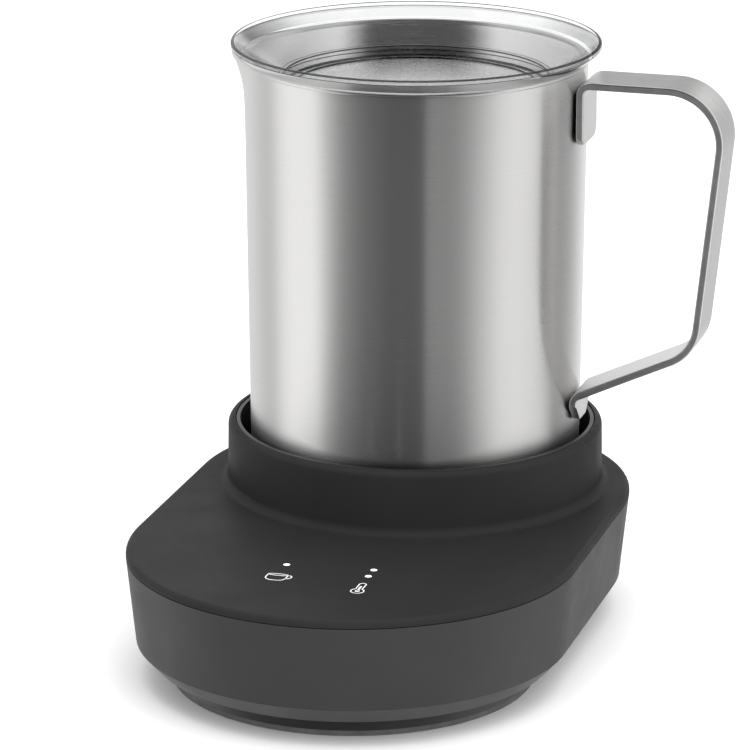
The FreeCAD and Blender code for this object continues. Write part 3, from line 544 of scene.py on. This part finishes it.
def jug_outline():
    """Floor outside, wall, rolled rim, wall inside, floor inside."""
    rows = [(0.0, SHELL_LOW), (LOW_RADIUS * 0.5, SHELL_LOW)]
    for step in range(FLOOR_STEPS + 1):
        angle = math.radians(-90 + 90 * step / FLOOR_STEPS)
        rows.append((LOW_RADIUS - CORNER + CORNER * math.cos(angle),
                     SHELL_LOW + CORNER + CORNER * math.sin(angle)))
    start = SHELL_LOW + CORNER
    top = RIM - 2.4 * BEAD
    for step in range(1, WALL_ROWS + 1):
        z = start + (top - start) * step / WALL_ROWS
        rows.append((wall_row(z), z))
    middle = RIM - BEAD
    for step in range(BEAD_STEPS + 1):
        angle = math.radians(BEAD_START + BEAD_SWEEP * step / BEAD_STEPS)
        rows.append((wall_row(middle, BEAD - BEAD_SET) + BEAD * math.cos(angle),
                     middle + BEAD * math.sin(angle)))
    floor = SHELL_LOW + WALL
    for step in range(WALL_ROWS + 1):
        z = middle - BEAD - (middle - BEAD - floor - INSIDE_CORNER) * step / WALL_ROWS
        rows.append((wall_row(z, WALL), z))
    inner = wall_row(floor, WALL)
    for step in range(1, FLOOR_STEPS + 1):
        angle = math.radians(90 * step / FLOOR_STEPS)
        rows.append((inner - INSIDE_CORNER + INSIDE_CORNER * math.cos(angle),
                     floor + INSIDE_CORNER - INSIDE_CORNER * math.sin(angle)))
    rows.append((inner * 0.5, floor))
    rows.append((0.0, floor))
    return rows


def second_finish(obj, material, wanted):
    """Gives the faces picked by a test their own material."""
    obj.data.materials.append(material)
    slot = len(obj.data.materials) - 1
    for face in obj.data.polygons:
        if wanted(face):
            face.material_index = slot


def is_inside(face):
    """Faces of the jug's inner wall and floor."""
    inward = face.normal.x * face.center.x + face.normal.y * face.center.y < 0
    upward = face.normal.z > 0.5 and face.center.z < SHELL_LOW + CORNER
    return face.center.z < RIM - 2 * BEAD and (inward or upward)


jug = lathe("jug_wall", jug_outline(), "jug", steel_jug, steps=256, closed=False,
            reach=jug_reach)
second_finish(jug, steel_inside_painted_light, is_inside)
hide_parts("jug_shell")


# ------------------------------------------------------------------ lid
lid_low, lid_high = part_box("lid_shell")
LID_RADIUS = lid_high.x
LID_TOP = lid_high.z
LID_UNDER = lid_low.z
LID_FLOOR = LID_UNDER + 1.6 * MM
LID_SEAT = RIM + 0.4 * MM
DISH_OUTSIDE = 40.1 * MM
DISH_INSIDE = 38.5 * MM
DISH_STEP = 3.3 * MM
PLUG_RADIUS = 48.3 * MM
SEAT_RADIUS = 50.8 * MM
LID_LIP = 1.4 * MM
CONE_STEEP = 0.8


def lid_outline():
    """Dish in the middle, conical flare and a plain rounded rim; all corners eased."""
    points = [(0.0, LID_UNDER), (DISH_OUTSIDE, LID_UNDER),
              (DISH_OUTSIDE, LID_UNDER + DISH_STEP), (PLUG_RADIUS, RIM - 1.3 * MM),
              (PLUG_RADIUS, LID_SEAT), (SEAT_RADIUS, LID_SEAT),
              (LID_RADIUS, LID_TOP - LID_LIP), (LID_RADIUS, LID_TOP),
              (LID_RADIUS - 1.2 * MM, LID_TOP), (49.6 * MM, LID_SEAT + 1.1 * MM),
              (39.8 * MM, LID_FLOOR + DISH_STEP), (DISH_INSIDE, LID_FLOOR + DISH_STEP),
              (DISH_INSIDE, LID_FLOOR)]
    ring = [(36.5, 0.0), (36.2, 0.4), (35.8, 0.4), (35.5, 0.0)]
    points += [(r * MM, LID_FLOOR + rise * MM) for r, rise in ring]
    points.append((0.0, LID_FLOOR))
    radii = {1: 1.2 * MM, 2: 1.0 * MM, 3: 0.4 * MM, 4: 0.4 * MM, 5: 0.5 * MM, 6: 0.45 * MM,
             7: 0.55 * MM, 8: 0.5 * MM, 9: 1.2 * MM, 10: 0.5 * MM, 11: 0.4 * MM, 12: 0.6 * MM}
    return rounded(points, radii)


def from_axis(face):
    """Distance of a face's middle from the vertical axis."""
    return math.hypot(face.center.x, face.center.y)


def is_lid_floor(face):
    """The dish floor seen from above."""
    return from_axis(face) < DISH_INSIDE and face.normal.z > 0.9


def is_lid_flare(face):
    """The underside of the flare outside the seat, which turns almost black at a slant: a
    painted dark reflection.
    """
    inner = SEAT_RADIUS + 0.1 * MM
    return inner < from_axis(face) < LID_RADIUS - 0.1 * MM and face.normal.z < -0.6


def is_lid_edge(face):
    """The rounded corners of the rim, the step and the ring in the floor, given a nearly black
    tint as painted dark lines in place of their refraction.
    """
    far = from_axis(face)
    steep = abs(face.normal.z)
    if far > LID_RADIUS - 0.9 * MM:
        return steep > 0.15 and face.normal.z > -0.6
    cone = abs(steep - CONE_STEEP) < 0.02 and far > 39.9 * MM
    return far < DISH_OUTSIDE + 0.1 * MM and 0.1 < steep < 0.98 and not cone


lid = lathe("lid_clear_dish", lid_outline(), "lid", lid_clear, steps=200, closed=False)
second_finish(lid, lid_frost, is_lid_floor)
second_finish(lid, lid_flare_painted_dark, is_lid_flare)
second_finish(lid, lid_edge_painted_dark, is_lid_edge)
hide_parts("lid_shell")


# ------------------------------------------------------------------ whisk
ring_low, ring_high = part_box("whisk_ring")
RING_LEVEL = (ring_low.z + ring_high.z) / 2
HUB_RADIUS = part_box("whisk_hub")[1].x
RING_RADIUS = 15.5 * MM
COIL_RADIUS = 0.85 * MM
WIRE = 0.25 * MM
COIL_TURNS = 44
TURN_STEPS = 12
HOOP_STEPS = 72
ARMS = 4
ARM_GAP = 0.5 * MM
ARM_GRIP = 0.5 * MM


def froth_coil():
    """Sprung wire coil round a ring, carried by four arms on the hub."""
    curve = bpy.data.curves.new("froth_coil", "CURVE")
    curve.dimensions = "3D"
    curve.bevel_depth = WIRE
    curve.bevel_resolution = 2
    coil = curve.splines.new("POLY")
    count = COIL_TURNS * TURN_STEPS
    coil.points.add(count - 1)
    coil.use_cyclic_u = True
    for step in range(count):
        around = 2 * math.pi * step / count
        twist = around * COIL_TURNS
        radius = RING_RADIUS + COIL_RADIUS * math.cos(twist)
        level = RING_LEVEL + COIL_RADIUS * math.sin(twist)
        coil.points[step].co = (radius * math.cos(around), radius * math.sin(around), level, 1)
    hoop = curve.splines.new("POLY")
    hoop.points.add(HOOP_STEPS - 1)
    hoop.use_cyclic_u = True
    for step in range(HOOP_STEPS):
        around = 2 * math.pi * step / HOOP_STEPS
        hoop.points[step].co = (RING_RADIUS * math.cos(around), RING_RADIUS * math.sin(around),
                                RING_LEVEL, 1)
    for arm in range(ARMS):
        angle = 2 * math.pi * arm / ARMS
        for side in (-1, 1):
            spoke = curve.splines.new("POLY")
            spoke.points.add(1)
            shift = Vector((-math.sin(angle), math.cos(angle), 0)) * side * ARM_GAP
            along = Vector((math.cos(angle), math.sin(angle), 0))
            for index, radius in enumerate((HUB_RADIUS - ARM_GRIP, RING_RADIUS)):
                spot = along * radius + shift
                spoke.points[index].co = (spot.x, spot.y, RING_LEVEL, 1)
    obj = bpy.data.objects.new("froth_coil", curve)
    bpy.context.scene.collection.objects.link(obj)
    curve.materials.append(steel_whisk)
    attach(obj, "whisk")
    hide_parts("whisk_ring")


froth_coil()


# ------------------------------------------------------------------ printed icons
# DECK is the level of the panel's top; the places are the icons' middles.
DECK = 38.1 * MM
PRINT_THICK = 0.04 * MM
LINE = 0.34 * MM
MERCURY = 0.62 * MM
CUP_PLACE = (-12.7 * MM, -97.9 * MM)
THERMOMETER_PLACE = (12.3 * MM, -100.8 * MM)


def icon_cup(x, y):
    """Outline of a cup seen a little from above, with a handle."""
    half = 2.9 * MM
    brim = y + 1.9 * MM
    belly = y - 0.6 * MM
    bend = 2.2 * MM
    rim = arc((x, brim), half, 0, 360, 28, 0.24)
    bowl = [(x - half, brim)]
    bowl += arc((x - half + bend, belly), bend, 180, 262, 8)
    bowl += arc((x + half - bend, belly), bend, 278, 360, 8)
    bowl += [(x + half, brim)]
    ear = arc((x + half, y + 0.5 * MM), 1.35 * MM, 75, -95, 10)
    ribbon("icon_cup", [rim, bowl, ear], LINE, DECK, PRINT_THICK, "base", ink)


def icon_thermometer(x, y):
    """Outline of a thermometer with a filled bulb."""
    stem = 0.95 * MM
    bulb = 1.85 * MM
    low = y - 2.2 * MM
    high = y + 3.4 * MM
    open_angle = math.degrees(math.acos(stem / bulb))
    outline = arc((x, low), bulb, 180 - open_angle, 360 + open_angle, 24)
    outline += arc((x, high), stem, 0, 180, 10)
    outline.append(outline[0])
    ribbon("icon_thermometer", [outline], LINE, DECK, PRINT_THICK, "base", ink)
    core = arc((x, low), 0.4 * MM, 0, 360, 12)
    mercury = [(x, low), (x, high - 1.6 * MM)]
    ribbon("icon_thermometer_core", [mercury, core], MERCURY, DECK, PRINT_THICK, "base", ink)


icon_cup(*CUP_PLACE)
icon_thermometer(*THERMOMETER_PLACE)


# ------------------------------------------------------------------ stage, light, camera
FLOOR_HALF = 60.0
FLOOR_DROP = 0.2 * MM


def stage_floor():
    """Plain pale floor just under the foot ring."""
    mesh = bpy.data.meshes.new("floor")
    signs = ((-1, -1), (1, -1), (1, 1), (-1, 1))
    corners = [(x * FLOOR_HALF, y * FLOOR_HALF, 0) for x, y in signs]
    mesh.from_pydata(corners, [], [(0, 1, 2, 3)])
    nodes = Nodes("floor_paper")
    nodes.link(nodes.ramp(nodes.noise(3.0), (0.92, 0.92, 0.92), (0.94, 0.94, 0.94)),
               nodes.shader.inputs["Base Color"])
    nodes.set(Roughness=0.9, Specular_IOR_Level=0.1)
    mesh.materials.append(nodes.material)
    obj = bpy.data.objects.new("floor", mesh)
    bpy.context.scene.collection.objects.link(obj)
    obj.location.z = -FLOOR_DROP
    obj.visible_glossy = False


# Brightness of the light tent by direction, in degrees from the camera's side of the
# object: negative is to the left of the camera. TENT is the part below TENT_TURN, TENT_UPPER
# the part up to TENT_ROOF and TENT_TOP the rest.
TENT = [(-180, 0.85), (-138, 0.88), (-119, 0.72), (-110, 0.8), (-102, 1.12), (-92, 1.25),
        (-72, 1.2), (-62, 0.66), (-52, 0.38), (-35, 0.23), (-16, 0.16), (7, 0.16), (9, 0.39),
        (26, 0.38), (36, 0.48), (50, 0.78), (60, 1.0), (72, 1.08), (92, 1.0), (100, 0.8),
        (106, 0.4), (120, 0.5), (138, 0.9), (150, 1.05), (180, 0.85)]
TENT_UPPER = [(-180, 1.05), (-150, 0.95), (-75, 1.2), (-50, 0.0), (48, 0.0), (72, 1.2),
              (130, 0.75), (145, 0.35), (165, 0.35), (172, 1.05), (180, 1.05)]
TENT_TOP = [(-180, 0.85), (180, 0.85)]
TENT_RADIUS = 0.22
TENT_HOLE = 0.002
TENT_TURN = 0.19
TENT_TURN_FADE = 0.02
TENT_ROOF = 0.78
TENT_ROOF_FADE = 0.05
TENT_MIDDLE = -0.03
TENT_LOW = -0.6
TENT_HIGH = 0.9
TENT_STEPS = 360
CAMERA_TURN = 0.283
CAMERA_TILT = 0.293


def tent_level(table, turn):
    """Brightness of the tent in one direction, read off a table of directions."""
    for (low, first), (high, last) in zip(table, table[1:]):
        if low <= turn <= high:
            return first + (last - first) * (turn - low) / (high - low)
    return table[0][1]


def light_tent():
    """A closed tube of light and dark card round the object, seen only in its reflections."""
    outline = [(TENT_HOLE, TENT_LOW, TENT), (TENT_RADIUS, TENT_LOW, TENT),
               (TENT_RADIUS, TENT_TURN, TENT),
               (TENT_RADIUS, TENT_TURN + TENT_TURN_FADE, TENT_UPPER),
               (TENT_RADIUS, TENT_ROOF, TENT_UPPER),
               (TENT_RADIUS, TENT_ROOF + TENT_ROOF_FADE, TENT_TOP),
               (TENT_RADIUS, TENT_HIGH, TENT_TOP), (TENT_HOLE, TENT_HIGH, TENT_TOP)]
    verts = []
    levels = []
    faces = []
    for radius, height, table in outline:
        for step in range(TENT_STEPS):
            turn = 360 * step / TENT_STEPS - 180
            angle = math.radians(turn) + CAMERA_TURN
            verts.append((radius * math.sin(angle),
                          TENT_MIDDLE - radius * math.cos(angle), height))
            levels.append(tent_level(table, turn))
    for ring in range(len(outline) - 1):
        for step in range(TENT_STEPS):
            a = ring * TENT_STEPS + step
            b = ring * TENT_STEPS + (step + 1) % TENT_STEPS
            faces.append((a, b, b + TENT_STEPS, a + TENT_STEPS))
    mesh = bpy.data.meshes.new("light_tent")
    mesh.from_pydata(verts, [], faces)
    level = mesh.attributes.new("level", "FLOAT_COLOR", "POINT")
    for index, value in enumerate(levels):
        level.data[index].color = (value, value, value, 1)
    material = bpy.data.materials.new("tent_light")
    material.use_nodes = True
    tree = material.node_tree
    tree.nodes.clear()
    source = tree.nodes.new("ShaderNodeVertexColor")
    source.layer_name = "level"
    light = tree.nodes.new("ShaderNodeEmission")
    out = tree.nodes.new("ShaderNodeOutputMaterial")
    tree.links.new(source.outputs["Color"], light.inputs["Color"])
    tree.links.new(light.outputs["Emission"], out.inputs["Surface"])
    mesh.materials.append(material)
    obj = bpy.data.objects.new("light_tent", mesh)
    bpy.context.scene.collection.objects.link(obj)
    obj.visible_camera = False
    obj.visible_diffuse = False
    obj.visible_transmission = False
    obj.visible_shadow = False
    obj.visible_volume_scatter = False


# Soft boxes: name, place, width, height and power in watts, all turned to LIGHT_TARGET.
LIGHT_TARGET = (0, -0.03, 0.08)
LIGHTS = [("light_top", (0.1, -0.1, 1.3), 1.2, 1.2, 9.0),
          ("light_right", (1.0, -0.5, 0.7), 1.4, 1.4, 6.0),
          ("light_left", (-1.1, -0.6, 0.6), 0.8, 0.9, 0.8)]
WORLD_STRENGTH = 1.14


def area_light(name, place, width, height, power):
    """A soft box that is not seen in reflections."""
    data = bpy.data.lights.new(name, "AREA")
    data.shape = "RECTANGLE"
    data.size = width
    data.size_y = height
    data.energy = power
    obj = bpy.data.objects.new(name, data)
    bpy.context.scene.collection.objects.link(obj)
    obj.location = place
    aim = Vector(LIGHT_TARGET) - Vector(place)
    obj.rotation_euler = aim.to_track_quat("-Z", "Y").to_euler()
    obj.visible_glossy = False


def studio():
    """White surroundings that only matt surfaces see, and the soft boxes."""
    world = bpy.data.worlds.new("studio")
    bpy.context.scene.world = world
    world.use_nodes = True
    background = world.node_tree.nodes["Background"]
    background.inputs["Color"].default_value = (1.0, 1.0, 1.0, 1)
    background.inputs["Strength"].default_value = WORLD_STRENGTH
    world.cycles_visibility.glossy = False
    for light in LIGHTS:
        area_light(*light)


CAMERA_PLACE = (0.3429, -1.2287, 0.4544)
CAMERA_LENS = 216.0
SENSOR_WIDTH = 36.0


def camera():
    """Long lens, from the front and a little to the right, looking slightly down."""
    data = bpy.data.cameras.new("camera")
    data.lens = CAMERA_LENS
    data.sensor_width = SENSOR_WIDTH
    obj = bpy.data.objects.new("camera", data)
    bpy.context.scene.collection.objects.link(obj)
    obj.location = CAMERA_PLACE
    obj.rotation_euler = (math.pi / 2 - CAMERA_TILT, 0, CAMERA_TURN)
    bpy.context.scene.camera = obj


stage_floor()
light_tent()
studio()
camera()
bpy.context.scene.view_settings.view_transform = "Standard"
light_paths = bpy.context.scene.cycles
light_paths.transparent_max_bounces = 32
light_paths.max_bounces = 16
light_paths.glossy_bounces = 10
